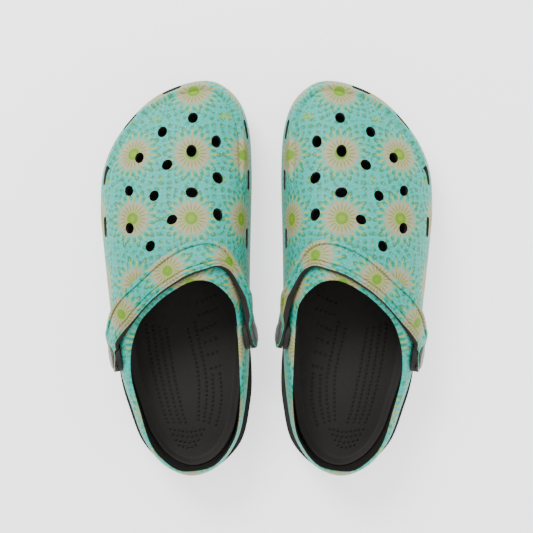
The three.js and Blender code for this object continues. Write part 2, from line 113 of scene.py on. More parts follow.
def distance_to_outline(xy):
    flat = xy.reshape(-1, 2)
    start, step = OUTLINE, np.roll(OUTLINE, -1, 0) - OUTLINE
    out = np.empty(len(flat))
    for i in range(0, len(flat), 2000):
        away = flat[i : i + 2000, None] - start
        share = np.clip((away * step).sum(-1) / (step**2).sum(-1), 0, 1)
        out[i : i + 2000] = np.linalg.norm(away - share[..., None] * step, axis=-1).min(1)
    return out.reshape(xy.shape[:-1])


def shoulder(x):
    return SHOULDER + SHOULDER_SKEW * np.clip(x / HALF_WIDTH, -1, 1)


def ceiling(y):
    forward = np.maximum(0, (y + 10) / (TOE_Y + 10))
    return THROAT_CEILING + (TOE_CEILING - THROAT_CEILING) * forward


def dome_height(xy, inset=0.0, lowered=0.0):
    x, y = xy[..., 0], xy[..., 1]
    share = np.clip((distance_to_outline(xy) - inset) / (shoulder(x) - inset), 0, 1)
    rise = (1 - (1 - share) ** ROUNDNESS) ** (1 / ROUNDNESS)
    return sole_top(y) + (ceiling(y) - lowered - sole_top(y)) * rise


def upper_surface(t, up, inset=0.0, lowered=0.0):
    """Points of the upper: t runs round the shoe, and up from the sole to the opening's edge."""
    t, up = np.broadcast_arrays(t, up)
    into = inward(t)
    foot = spline(STATIONS[:, :2], t) + inset * into
    rim = spline(STATIONS[:, 2:], t)
    reach = np.linalg.norm(rim[..., :2] - foot, axis=-1, keepdims=True)
    u = up[..., None]
    near, far = foot + 0.3 * reach * into, rim[..., :2] + 0.3 * (foot - rim[..., :2])
    xy = (1 - u) ** 3 * foot + 3 * (1 - u) ** 2 * u * near + 3 * (1 - u) * u**2 * far + u**3 * rim[..., :2]
    mismatch = rim[..., 2] - lowered - dome_height(rim[..., :2], inset, lowered)
    z = np.where(up == 0, sole_top(xy[..., 1]), dome_height(xy, inset, lowered) + mismatch * up**2)
    return np.concatenate([xy, z[..., None]], -1)


def paint_faces(mesh, slots):
    """Sets each face's material, by number."""
    mesh.polygons.foreach_set("material_index", np.broadcast_to(slots, len(mesh.polygons)).astype(np.int32).copy())


def mesh_of(rings, name, wrap_rings=False, cap=False, slots=0):
    """A skin over rings of points, each ring closed on itself. slots numbers the faces' materials, ring by ring."""
    count, around = rings.shape[:2]
    index = np.arange(count * around).reshape(count, around)
    a = index if wrap_rings else index[:-1]
    b = np.roll(index, -1, 0) if wrap_rings else index[1:]
    quads = np.stack([a, np.roll(a, -1, 1), np.roll(b, -1, 1), b], -1).reshape(-1, 4).tolist()
    if cap:
        quads += [index[0, ::-1].tolist(), index[-1].tolist()]
    mesh = bpy.data.meshes.new(name)
    mesh.from_pydata(rings.reshape(-1, 3).tolist(), [], quads)
    paint_faces(mesh, slots)
    tidy = bmesh.new()
    tidy.from_mesh(mesh)
    bmesh.ops.remove_doubles(tidy, verts=tidy.verts, dist=1e-4)
    bmesh.ops.recalc_face_normals(tidy, faces=tidy.faces)
    tidy.to_mesh(mesh)
    tidy.free()
    return mesh


def scratch(mesh):
    obj = bpy.data.objects.new(mesh.name, mesh)
    bpy.context.scene.collection.objects.link(obj)
    return obj


def cut_or_join(mesh, tools, operation):
    """The mesh with the tools' meshes cut from it or joined to it, one after another."""
    obj = scratch(mesh)
    helpers = [scratch(tool) for tool in tools]
    for helper in helpers:
        step = obj.modifiers.new("step", "BOOLEAN")
        step.operation, step.object, step.solver = operation, helper, "MANIFOLD"
        step.material_mode = "INDEX"
    done = bpy.data.meshes.new_from_object(obj.evaluated_get(bpy.context.evaluated_depsgraph_get()))
    for used in [obj, *helpers]:
        bpy.data.objects.remove(used)
    return done


def lathe(profile, name, steps=64):
    """A closed turned body round its own +Y axis, from (radius, height) pairs from end to end."""
    turn = np.linspace(0, 2 * np.pi, steps, endpoint=False)
    radius, height = np.array(profile, float).T
    level = np.outer(height, np.ones(steps))
    ring = np.stack([np.outer(radius, np.sin(turn)), level, np.outer(radius, np.cos(turn))], -1)
    return mesh_of(ring, name, cap=True)


AROUND, OUTER_ROWS, INNER_ROWS = 384, 116, 30
lap = np.arange(AROUND)[:, None] / AROUND
outer = upper_surface(lap, (np.linspace(0, 0.985, OUTER_ROWS) / 0.985)[None] ** 2.1 * 0.985)
inner = upper_surface(lap, np.linspace(0.97, 0, INNER_ROWS)[None] ** 1.7, UPPER_WALL, RIM_EDGE)
lip_top, lip_bottom = upper_surface(lap, np.ones((1, 1))), upper_surface(lap, np.ones((1, 1)), UPPER_WALL, RIM_EDGE)
roll = np.linspace(0, 1, 9)[1:-1][None, :, None]
lip = (
    (1 - roll) ** 3 * outer[:, -1:]
    + 3 * (1 - roll) ** 2 * roll * lip_top
    + 3 * (1 - roll) * roll**2 * lip_bottom
    + roll**3 * inner[:, :1]
)
# A moulded bumper runs round the toe, and ends in a fine raised bead with a groove behind it.
BUMPER_RISE, BEAD_AT, BEAD_RISE, GROOVE_AT, GROOVE_DEPTH = 0.5, 6.0, 1.2, 8.1, 1.5
from_edge = distance_to_outline(outer[..., :2])
bead = BEAD_RISE * np.exp(-((from_edge - BEAD_AT) ** 2)) - GROOVE_DEPTH * np.exp(-(((from_edge - GROOVE_AT) / 0.75) ** 2))
bead += BUMPER_RISE * smooth(from_edge, 0.4, 3.0) * (1 - smooth(from_edge, BEAD_AT, BEAD_AT + 2))
bead *= smooth(outer[..., 1], 55, 90)
along = np.roll(outer, -1, 0) - np.roll(outer, 1, 0)
upward = np.gradient(outer, axis=1)
skyward = np.cross(along, upward)
skyward *= np.sign(skyward[..., 2:]) / np.linalg.norm(skyward, axis=-1, keepdims=True)
outer += bead[..., None] * skyward
loops = np.concatenate([outer, lip, inner], 1)
loops[:, [0, -1], 2] += GAP
PRINT, BLACK = 0, 1
step_slots = np.full(loops.shape[1], BLACK)
step_slots[: OUTER_ROWS + 3] = PRINT
shell = mesh_of(loops, "upper_shell", wrap_rings=True, slots=np.tile(step_slots, AROUND))


def wall_place(station, height):
    """Where the upper's wall reaches a height, near a station of the outline."""
    t = np.array(station / len(STATIONS))
    foot = spline(STATIONS[:, :2], t)
    share = (height - sole_top(foot[1])) / (ceiling(foot[1]) - sole_top(foot[1]))
    foot = foot + inward(t) * shoulder(foot[0]) * (1 - (1 - share**ROUNDNESS) ** (1 / ROUNDNESS))
    return Vector((*foot, height))


RIVET_HEIGHT, BOSS_PROUD, STRAP_END_RADIUS, TUBE_RADIUS, CAP_RADIUS = 50.0, 1.3, 11.2, 4.6, 7.6
outer_wall, inner_wall = wall_place(4.75, RIVET_HEIGHT), wall_place(20.95, RIVET_HEIGHT)
hinge = (outer_wall - inner_wall).normalized()
DOWN = Vector((0, 0, -1))


def rivet_frame(wall, outward):
    """+Y out along the hinge line, +X down."""
    return Matrix.Translation(wall) @ Matrix([DOWN, outward, DOWN.cross(outward)]).transposed().to_4x4()


RIVETS = {
    "outer": (rivet_frame(outer_wall, hinge), math.radians(14)),
    "inner": (rivet_frame(inner_wall, -hinge), math.radians(12)),
}


def bar(radius, low, high, name="bar", soften=0.0):
    if not soften:
        return lathe([(radius, low), (radius, high)], name)
    ends = [(radius - soften, low), (radius, low + soften), (radius, high - soften), (radius - soften, high)]
    return lathe(ends, name)


def placed(mesh, matrix):
    mesh.transform(matrix)
    if matrix.determinant() < 0:
        mesh.flip_normals()
    return mesh


VENTS = [  # x, y and the turn of the long way from +Y towards +X, in degrees
    (-13.2, 114.7, -10), (8.6, 104.5, -15), (-30.1, 97.4, 5), (-12.5, 90.3, 0), (24.8, 85.7, -10),
    (4.6, 80.3, -40), (-31.5, 71, 60), (32, 62, 0), (13.5, 58.2, -25), (-13, 60.3, 80),
    (-31.7, 44.7, 45), (0.5, 41.2, -50), (31.6, 35.3, -10), (16.2, 23, -35),
]
VENT_HALF_LENGTH, VENT_HALF_WIDTH, MOUTH = 4.0, 3.3, 0.6  # the vents' mouths are rounded over
SLOTS = ((8.47, 0.55), (9.76, 0.55), (11.32, 0.42), (12.6, 0.42), (16.05, 0.45), (17.26, 0.45), (18.49, 0.45))
SLOT_LENGTH, SLOT_HEIGHT = 15.0, 5.5


def vent_cutter(x, y, degrees):
    spot = np.array([[x, y], [x + 0.5, y], [x - 0.5, y], [x, y + 0.5], [x, y - 0.5]])
    z = dome_height(spot)
    out = Vector((z[2] - z[1], z[4] - z[3], 1)).normalized()
    flare = MOUTH / VENT_HALF_WIDTH
    arc = np.linspace(0, math.pi / 2, 6)
    mouth = [(1 + flare * (1 - math.cos(a)), MOUTH * (math.sin(a) - 0.93)) for a in arc]
    cutter = lathe([(1, -14), *mouth, (1 + 1.6 * flare, 3)], "vent", 40)
    oval = Matrix.Rotation(-math.radians(degrees), 4, "Y") @ Matrix.Diagonal((VENT_HALF_WIDTH, 1, VENT_HALF_LENGTH, 1))
    stand = Vector((0, 1, 0)).rotation_difference(out).to_matrix().to_4x4()
    return placed(cutter, Matrix.Translation((x, y, z[0])) @ stand @ oval)


def slot_cutter(station, share):
    t = np.array(station / len(STATIONS))
    foot = spline(STATIONS[:, :2], t)
    height = sole_top(foot[1]) + share * (ceiling(foot[1]) - sole_top(foot[1]))
    spot, into = wall_place(station, height), Vector((*inward(t), 0))
    straight, radius = (SLOT_LENGTH - SLOT_HEIGHT) / 2, SLOT_HEIGHT / 2
    turn = np.linspace(0, 2 * np.pi, 48, endpoint=False)
    across, up = np.cos(turn), np.sin(turn)
    rings = []
    for depth, grow in ((-14, 1.1), (-1.6, 0.55), (-0.9, 0.2), (-0.2, 0.0), (15, 0.0)):
        wide = (radius + grow) * across + straight * np.sign(across)
        rings.append(np.stack([wide, (radius + grow) * up, np.full(48, depth)], -1))
    along = Vector((0, 0, 1)).cross(into)
    turn_in = Matrix([along, Vector((0, 0, 1)), into]).transposed().to_4x4()
    return placed(mesh_of(np.array(rings), "slot", cap=True), Matrix.Translation(spot) @ turn_in)


cutters = [vent_cutter(*vent) for vent in VENTS] + [slot_cutter(*slot) for slot in SLOTS]
bosses = []
for name, (place, _) in RIVETS.items():
    bosses.append(placed(bar(STRAP_END_RADIUS, -UPPER_WALL / 2, BOSS_PROUD, "boss", 0.4), place))
    cutters.append(placed(bar(STRAP_END_RADIUS + 1, BOSS_PROUD, 4 * UPPER_WALL, "seat"), place))
    cutters.append(placed(bar(TUBE_RADIUS + GAP, -4 * UPPER_WALL, 4 * UPPER_WALL, "tube_hole"), place))
    cutters.append(placed(bar(CAP_RADIUS + 1, -4 * UPPER_WALL, -UPPER_WALL, "cap_seat"), place))
for tool in cutters + bosses:
    paint_faces(tool, BLACK)
shell = cut_or_join(cut_or_join(shell, bosses, "UNION"), cutters, "DIFFERENCE")

# The print repeats a daisy every 46.5 mm along the shoe and 43 mm across it, measured over the curved skin.
REPEAT_ALONG, REPEAT_ACROSS, CROWN_X, FIRST_ROW = 46.5, 43.0, -13.0, 88.5


def daisy_centres():
    centres = []
    for row in range(-1, 6):
        y = FIRST_ROW - REPEAT_ALONG * row
        x = np.linspace(-60, 60, 1201)
        xy = np.stack([x, np.full_like(x, y)], -1)
        span = OUTLINE[np.abs(OUTLINE[:, 1] - y) < 1.5][:, 0]
        inside = (x > span.min()) & (x < span.max())
        xy = xy[inside]
        line = np.concatenate([xy, dome_height(xy)[:, None]], -1)
        length = np.concatenate([[0], np.cumsum(np.linalg.norm(np.diff(line, axis=0), axis=1))])
        middle = length[np.argmin(np.abs(line[:, 0] - CROWN_X))]
        for column in range(-3, 4):
            place = middle + REPEAT_ACROSS * column
            if 0 < place < length[-1]:
                centres.append([np.interp(place, length, line[:, i]) for i in range(3)])
    return np.array(centres)


def lay_daisies(mesh, centres, normals):
    """Gives each face the daisy it is nearest to, and its corners their place on it, in millimetres."""
    count = len(mesh.polygons)
    points = np.empty(len(mesh.vertices) * 3)
    mesh.vertices.foreach_get("co", points)
    points = points.reshape(-1, 3)
    middles, totals, corners = np.empty(count * 3), np.empty(count, int), np.empty(len(mesh.loops), int)
    mesh.polygons.foreach_get("center", middles)
    mesh.polygons.foreach_get("loop_total", totals)
    mesh.loops.foreach_get("vertex_index", corners)
    nearest = np.linalg.norm(middles.reshape(-1, 1, 3) - centres, axis=-1).argmin(1)
    nearest = np.repeat(nearest, totals)
    normal = normals[nearest]
    ahead = np.where(np.abs(normal[:, 1:2]) > 0.9, [[0, 0, -1.0]], [[0, 1.0, 0]])
    ahead -= (ahead * normal).sum(1, keepdims=True) * normal
    ahead /= np.linalg.norm(ahead, axis=1, keepdims=True)
    side = np.cross(ahead, normal)
    offset = points[corners] - centres[nearest]
    flat = np.stack([(offset * side).sum(1), (offset * ahead).sum(1)], -1)
    flat *= (np.linalg.norm(offset, axis=1) / np.maximum(np.linalg.norm(flat, axis=1), 1e-6))[:, None]
    layer = mesh.uv_layers.new(name="daisy")
    layer.data.foreach_set("uv", (flat / 100 + 0.5).astype(np.float32).ravel())


centres = daisy_centres()
around_centres = centres[:, None, :2] + np.array([[0.5, 0], [-0.5, 0], [0, 0.5], [0, -0.5]])
near = dome_height(around_centres)
normals = np.stack([near[:, 1] - near[:, 0], near[:, 3] - near[:, 2], np.ones(len(centres))], -1)
normals /= np.linalg.norm(normals, axis=1, keepdims=True)
shell_daisies = {side: (centres, normals) for side in ("right", "left")}


def srgb(code):
    """A hex colour as the linear values that the shaders take."""
    parts = [int(code[i : i + 2], 16) / 255 for i in (1, 3, 5)]
    return (*[c / 12.92 if c <= 0.04045 else ((c + 0.055) / 1.055) ** 2.4 for c in parts], 1)


def add_node(tree, kind, links=(), **settings):
    """Adds a node. A setting names an attribute of it, or an input where it starts with in_."""
    node = tree.nodes.new(kind)
    for key, value in settings.items():
        if key.startswith("in_"):
            node.inputs[int(key[3:]) if key[3:].isdigit() else key[3:].replace("_", " ")].default_value = value
        else:
            setattr(node, key, value)
    for socket, source in dict(links).items():
        tree.links.new(source, node.inputs[socket])
    return node


def new_material(name):
    material = bpy.data.materials.new(name)
    material.use_nodes = True
    tree = material.node_tree
    return material, tree, tree.nodes["Principled BSDF"]


def sums(tree, operation, a, b=None, clamp=False):
    """One sum on two values, each a socket or a number."""
    node = add_node(tree, "ShaderNodeMath", operation=operation, use_clamp=clamp)
    for i, value in enumerate((a, b)):
        if value is None:
            continue
        if isinstance(value, (int, float)):
            node.inputs[i].default_value = value
        else:
            tree.links.new(value, node.inputs[i])
    return node.outputs[0]


def between(tree, value, low, high):
    """0 below low, 1 above high, soft between them."""
    node = add_node(tree, "ShaderNodeMapRange", {"Value": value}, interpolation_type="SMOOTHSTEP")
    node.inputs["From Min"].default_value, node.inputs["From Max"].default_value = low, high
    return node.outputs["Result"]


def overlay(tree, base, top, share):
    """top over base, by share."""
    node = add_node(tree, "ShaderNodeMix", data_type="RGBA")
    for socket, value in ((0, share), (6, base), (7, top)):
        if isinstance(value, str):
            node.inputs[socket].default_value = srgb(value)
        elif isinstance(value, (int, float)):
            node.inputs[socket].default_value = value
        else:
            tree.links.new(value, node.inputs[socket])
    return node.outputs[2]


def foam_bump(tree, shader, grain_mm, depth):
    """Fine pebbling left by the mould. Object coordinates are in metres."""
    place = add_node(tree, "ShaderNodeTexCoord")
    noise = add_node(
        tree, "ShaderNodeTexNoise", {"Vector": place.outputs["Object"]}, in_Scale=1000 / grain_mm, in_Detail=3.0
    )
    bump = add_node(tree, "ShaderNodeBump", {"Height": noise.outputs["Fac"]}, in_Strength=depth, in_Distance=0.0004)
    tree.links.new(bump.outputs["Normal"], shader.inputs["Normal"])
    return noise.outputs["Fac"]


def printed_eva_foam():
    """Heat-transfer print on moulded EVA foam: soft-edged colours under a faint satin film, slightly pebbled."""
    material, tree, shader = new_material("printed_eva_foam")
    place = add_node(tree, "ShaderNodeUVMap", uv_map="daisy")
    split = add_node(tree, "ShaderNodeSeparateXYZ", {"Vector": place.outputs["UV"]})
    x = sums(tree, "MULTIPLY", sums(tree, "SUBTRACT", split.outputs["X"], 0.5), 100.0)
    y = sums(tree, "MULTIPLY", sums(tree, "SUBTRACT", split.outputs["Y"], 0.5), 100.0)
    radius = sums(tree, "SQRT", sums(tree, "ADD", sums(tree, "MULTIPLY", x, x), sums(tree, "MULTIPLY", y, y)))
    angle = sums(tree, "ARCTAN2", y, x)
    petal_count = 20.0
    rays = sums(tree, "COSINE", sums(tree, "MULTIPLY", angle, petal_count))
    half_rays = sums(tree, "COSINE", sums(tree, "MULTIPLY", angle, petal_count / 2))

    # The ground: turquoise, with rings of teal blobs that alternate round the daisy and small greyish dots between.
    from_ring = sums(tree, "SUBTRACT", radius, 15.8)
    rings = sums(tree, "COSINE", sums(tree, "MULTIPLY", from_ring, 2 * math.pi / 7.6))
    blobs = sums(tree, "MULTIPLY", sums(tree, "MULTIPLY", rays, -1.0), rings)
    from_ring = sums(tree, "SUBTRACT", radius, 18.5)
    wide_rings = sums(tree, "COSINE", sums(tree, "MULTIPLY", from_ring, 2 * math.pi / 12.5))
    patches = sums(tree, "MULTIPLY", wide_rings, sums(tree, "ADD", 0.15, sums(tree, "MULTIPLY", half_rays, 0.35)))
    on_piece = add_node(tree, "ShaderNodeTexCoord").outputs["Object"]
    mottle = add_node(tree, "ShaderNodeTexNoise", {"Vector": on_piece}, in_Scale=380.0, in_Detail=2.0)
    mottle = sums(tree, "SUBTRACT", mottle.outputs["Fac"], 0.5)
    blobs = sums(tree, "ADD", sums(tree, "ADD", blobs, patches), sums(tree, "MULTIPLY", mottle, 2.4))
    colour = overlay(tree, "#14a699", "#067f58", between(tree, blobs, -0.15, 0.8))
    fine_rings = sums(tree, "COSINE", sums(tree, "MULTIPLY", radius, 2 * math.pi / 3.8))
    fine_rays = sums(tree, "COSINE", sums(tree, "MULTIPLY", angle, petal_count * 2))
    dots = sums(tree, "MULTIPLY", fine_rays, fine_rings)
    dots = sums(tree, "SUBTRACT", dots, sums(tree, "MULTIPLY", mottle, 2.0))
    colour = overlay(tree, colour, "#8ba398", sums(tree, "MULTIPLY", between(tree, dots, 0.3, 0.95), 0.6))
    corner = sums(tree, "MULTIPLY", between(tree, radius, 26.5, 29.5), between(tree, half_rays, 0.1, 0.8))
    colour = overlay(tree, colour, "#86a83c", sums(tree, "MULTIPLY", corner, 0.6))

    # Fine yellow rays reach out past the petals.
    ray_end = sums(tree, "SUBTRACT", 1.0, between(tree, radius, 15.5, 20.5))
    ray = sums(tree, "MULTIPLY", between(tree, rays, 0.62, 0.95), ray_end)
    colour = overlay(tree, colour, "#a8a23c", sums(tree, "MULTIPLY", ray, 0.95))

    # Pale petals, scalloped at their ends and tinted by the lime near the middle, each with an olive vein.
    petal_end = sums(tree, "ADD", radius, sums(tree, "MULTIPLY", rays, 0.7))
    petals = sums(tree, "SUBTRACT", 1.0, between(tree, petal_end, 10.6, 13.8))
    colour = overlay(tree, colour, "#9a967e", petals)
    glow = sums(tree, "MULTIPLY", sums(tree, "SUBTRACT", 1.0, between(tree, radius, 5.0, 10.5)), 0.5)
    colour = overlay(tree, colour, "#8c9c34", glow)
    vein = sums(tree, "MULTIPLY", between(tree, rays, 0.2, 0.9), between(tree, radius, 4.5, 6.5))
    vein = sums(tree, "MULTIPLY", vein, sums(tree, "SUBTRACT", 1.0, between(tree, radius, 8.5, 12.0)))
    colour = overlay(tree, colour, "#6a7626", sums(tree, "MULTIPLY", vein, 0.85))

    # A lime ring round a paler eye.
    lime_end = sums(tree, "SUBTRACT", 1.0, between(tree, radius, 4.0, 5.2))
    lime = sums(tree, "MULTIPLY", between(tree, radius, 1.6, 2.6), lime_end)
    eye = sums(tree, "SUBTRACT", 1.0, between(tree, radius, 1.6, 2.6))
    colour = overlay(tree, colour, "#80902a", eye)
    colour = overlay(tree, colour, "#5f8a03", lime)

    speckle = foam_bump(tree, shader, 0.9, 0.25)
    shade = add_node(tree, "ShaderNodeHueSaturation", {"Color": colour}, in_Saturation=1.06)
    tree.links.new(sums(tree, "ADD", 0.92, sums(tree, "MULTIPLY", speckle, 0.16)), shade.inputs["Value"])
    tree.links.new(shade.outputs["Color"], shader.inputs["Base Color"])
    rough = sums(tree, "ADD", 0.5, sums(tree, "MULTIPLY", speckle, 0.16))
    tree.links.new(rough, shader.inputs["Roughness"])
    shader.inputs["IOR"].default_value = 1.45
    return material


def black_eva_foam():
    """Bare moulded EVA foam: warm black and matt, with the mould's fine pebble catching a little light."""
    material, tree, shader = new_material("black_eva_foam")
    speckle = foam_bump(tree, shader, 1.1, 0.5)
    tree.links.new(overlay(tree, "#0d0b07", "#181610", speckle), shader.inputs["Base Color"])
    tree.links.new(sums(tree, "ADD", 0.62, sums(tree, "MULTIPLY", speckle, 0.2)), shader.inputs["Roughness"])
    shader.inputs["IOR"].default_value = 1.45
    return material


foam_print, foam_black = printed_eva_foam(), black_eva_foam()


def for_both_clogs(mesh, piece, node, materials, body, sharp=40, daisies=None):
    """The finished piece on the right clog, and its mirror image on the left one."""
    slots = np.empty(len(mesh.polygons), np.int32)
    mesh.polygons.foreach_get("material_index", slots)
    mesh.materials.clear()
    for material in materials:
        mesh.materials.append(material)
    paint_faces(mesh, slots)
    mesh.shade_smooth()
    mesh.set_sharp_from_angle(angle=math.radians(sharp))
    for side, sign in (("right", 1), ("left", -1)):
        own = mesh.copy()
        if daisies:
            lay_daisies(own, *daisies[side])
        own.transform(Matrix.Translation((HALF_SPACING, FORWARD, 0)))
        placed(own, Matrix.Diagonal((sign / 1000, 1 / 1000, 1 / 1000, 1)))
        obj = bpy.data.objects.new(f"{side}_{piece}", own)
        bpy.context.scene.collection.objects.link(obj)
        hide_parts(f"{side}_{node}")
        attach(obj, f"{side}_{body}")


for_both_clogs(shell, "upper_shell", "upper", [foam_print, foam_black], "clog", daisies=shell_daisies)

# ---------------------------------------------------------------- the soles
# Each sole is a black moulded unit glued under the upper, a little wider than it beside the heel. Its wall has
# two fine moulded lines, and its tread is a field of wavy grooves that lets mud out.

SOLE_FLARE, FLARE_BEHIND, FORE_INSET, SOLE_EDGE, SOLE_LIP, SPINE_SHARE, SPINE_X = 3.4, 0.5, 0.8, 3.0, 1.4, 0.7, -5.0
FOOTBED_THICKNESS, FOOTBED_DROP, FOOTBED_CURL = 5.0, 4.0, 2.5
SOLE_AROUND = 416
edge_t = np.arange(SOLE_AROUND) / SOLE_AROUND
edge_xy, edge_in = spline(STATIONS[:, :2], edge_t), inward(edge_t)
spine_y = SPINE_SHARE * (edge_xy[:, 1] + np.roll(edge_xy[::-1, 1], 1)) / 2


def level_ring(inset, height, share=1.0):
    """A ring round the shoe, drawn in towards the line down its middle."""
    inset = inset(edge_xy[:, 1]) if callable(inset) else inset
    edge = edge_xy + edge_in * np.reshape(inset, (-1, 1))
    spine = np.stack([np.full(SOLE_AROUND, SPINE_X), spine_y], -1)
    xy = spine + (edge - spine) * share
    return np.concatenate([xy, height(xy[:, 1])[:, None]], -1)


def sole_inset(y):
    beside = FORE_INSET + (-SOLE_FLARE - FORE_INSET) * smooth(-y, 30, 92)
    return beside + (-FLARE_BEHIND - beside) * smooth(-y, 118, -HEEL_Y)


def footbed_top(y):
    return sole_top(y) - FOOTBED_DROP


def cup_floor(y):
    return footbed_top(y) - FOOTBED_THICKNESS - 2 * GAP


TREAD_RINGS, TREAD_STEP, WAVE_HEIGHT, WAVE_LENGTH, TREAD_DEPTH = 80, 9.0, 3.0, 16, 1.8
out_from_spine = np.linspace(0, 1, TREAD_RINGS)
rings = [level_ring(lambda y: sole_inset(y) + SOLE_EDGE, ground_height, share) for share in out_from_spine]
for turn in np.linspace(0, math.pi / 2, 7)[1:]:  # the lower edge is rounded
    rings.append(level_ring(
        lambda y, a=turn: sole_inset(y) + SOLE_EDGE * (1 - math.sin(a)) * 0.98 + 0.06,
        lambda y, a=turn: ground_height(y) + SOLE_EDGE * (1 - math.cos(a)),
    ))
for up in np.linspace(0.12, 0.93, 34):  # the wall, with two moulded lines
    line = 0.5 * (math.exp(-(((up - 0.74) / 0.025) ** 2)) + math.exp(-(((up - 0.3) / 0.025) ** 2)))
    rings.append(level_ring(
        lambda y, d=line: sole_inset(y) + d,
        lambda y, u=up: ground_height(y) + SOLE_EDGE + (sole_top(y) - SOLE_LIP - ground_height(y) - SOLE_EDGE) * u,
    ))
for turn in np.linspace(0, math.pi / 2, 6):  # the upper edge is rounded too
    rings.append(level_ring(
        lambda y, a=turn: sole_inset(y) + SOLE_LIP * (1 - math.cos(a)) * 0.5,
        lambda y, a=turn: sole_top(y) - SOLE_LIP * (1 - math.sin(a)),
    ))
rings += [level_ring(UPPER_WALL, sole_top), level_ring(UPPER_WALL, cup_floor)]
rings += [level_ring(UPPER_WALL, cup_floor, share) for share in (0.65, 0)]
rings = np.array(rings)
under = rings[:TREAD_RINGS]
wave = under[..., 1] + WAVE_HEIGHT * np.sin(under[..., 0] * 2 * np.pi / WAVE_LENGTH)
groove = smooth(np.abs(np.mod(wave, TREAD_STEP) - TREAD_STEP / 2), 2.6, 3.3)
groove *= smooth(out_from_spine, 0.0, 0.02)[:, None] * (1 - smooth(out_from_spine, 0.88, 0.9)[:, None])
rings[:TREAD_RINGS, :, 2] += TREAD_DEPTH * groove
sole = mesh_of(rings, "sole")


def moulded_sole_rubber():
    """Denser black EVA of the sole unit: matt, finely pebbled, a little lighter where its pebbling stands proud."""
    material, tree, shader = new_material("moulded_sole_rubber")
    speckle = foam_bump(tree, shader, 1.4, 0.6)
    # the colour gets lighter with the height of the bump noise, on the tops of the pebbling
    tree.links.new(overlay(tree, "#0b0a08", "#151310", speckle), shader.inputs["Base Color"])
    tree.links.new(sums(tree, "ADD", 0.6, sums(tree, "MULTIPLY", speckle, 0.25)), shader.inputs["Roughness"])
    shader.inputs["IOR"].default_value = 1.5
    return material


for_both_clogs(sole, "sole_unit", "outsole", [moulded_sole_rubber()], "clog")

# ---------------------------------------------------------------- the footbeds
# Each footbed is a black foam insole that lies in the sole's cup. Rows of small soft nubs are moulded on it,
# long ones down both sides of the heel, short ones beside the arch, and rows across the forefoot.

bed_edge = UPPER_WALL + GAP


def bed_underside(y):
    return footbed_top(y) - FOOTBED_THICKNESS


rings = [level_ring(bed_edge, bed_underside, share) for share in (0, 0.35, 0.65, 0.85, 1)]
rings += [level_ring(bed_edge, lambda y: footbed_top(y) + FOOTBED_CURL - 0.8)]
for share in [0.997, 0.99, 0.98, *np.linspace(0.965, 0.8, 16), *np.linspace(0.78, 0, 24)]:
    curl = FOOTBED_CURL * smooth(share, 0.84, 0.98) - 0.5 * smooth(share, 0.985, 1.0)
    rings.append(level_ring(bed_edge, lambda y, c=curl: footbed_top(y) + c, share))
bed = mesh_of(np.array(rings), "footbed")

NUB_STEP, NUB_RADIUS, NUB_HEIGHT = 3.1, 1.1, 0.8


def row_of_nubs(corners):
    """Evenly spaced places along a soft curve through the corners."""
    line = spline(np.array(corners, float), np.linspace(0, 1, 200), closed=False)
    length = np.concatenate([[0], np.cumsum(np.linalg.norm(np.diff(line, axis=0), axis=1))])
    places = np.linspace(0, length[-1], int(length[-1] / NUB_STEP) + 1)
    return np.stack([np.interp(places, length, line[:, i]) for i in range(2)], -1)


rows = [[(24 - 5 * i, -36 - i), (18.5 - 5 * i, -70), (11 - 4.6 * i, -99), (7.5 - 4.4 * i, -108)] for i in range(4)]
rows += [[(-7, -39), (-14, -67), (-15.5, -84), (-15, -106)], [(-12, -34), (-20, -70), (-21, -90), (-19, -107)]]
rows += [[(-25.5, -73), (-26, -86), (-25.5, -96), (-23, -108)], [(-31, -72), (-32.2, -86), (-31, -99), (-28, -110)]]
rows += [[(-14, -20), (-27, -14)], [(-15, -29), (-28, -24)], [(-18, -40), (-27, -35)]]
rows += [[(-20, -49), (-28, -46)], [(-22, -58), (-29, -56)], [(-24.5, -68), (-31, -66)]]
rows += [[(-19 + 2 * i, -113 - 4 * i), (-8, -115 - 4 * i), (6 - 2.2 * i, -113 - 4 * i)] for i in range(4)]
rows += [[(-34, 14 + 9 * i), (-6, 22 + 9 * i), (28, 12 + 9 * i)] for i in range(10)]
rows = [row_of_nubs(corners) for corners in rows]
nub_turn = np.linspace(0, 2 * np.pi, 12, endpoint=False)
nub_cap = np.array([[math.cos(a), math.sin(a)] for a in np.linspace(0, math.pi / 2, 5)[:-1]])
builder = bmesh.new()
builder.from_mesh(bed)
for x, y in np.vstack(rows):
    base = float(footbed_top(y)) - 0.25
    tiers = []
    for c, h in nub_cap:
        wide, z = NUB_RADIUS * c, base + (NUB_HEIGHT + 0.25) * h
        tiers.append([builder.verts.new((x + wide * math.cos(a), y + wide * math.sin(a), z)) for a in nub_turn])
    top = builder.verts.new((x, y, base + NUB_HEIGHT + 0.25))
    for low, high in zip(tiers, tiers[1:]):
        for i in range(12):
            builder.faces.new((low[i], low[(i + 1) % 12], high[(i + 1) % 12], high[i]))
    for i in range(12):
        builder.faces.new((tiers[-1][i], tiers[-1][(i + 1) % 12], top))
    builder.faces.new(tiers[0][::-1])
builder.to_mesh(bed)
builder.free()
for_both_clogs(bed, "nubbed_footbed", "footbed", [foam_black], "clog")

# ---------------------------------------------------------------- the heel straps
# Each strap is a printed foam band, 21 mm wide, with a raised rim along both edges and a round end at each
# rivet. It lies forward over the vamp, and swings back to hold the heel. Its back and edges are bare black.

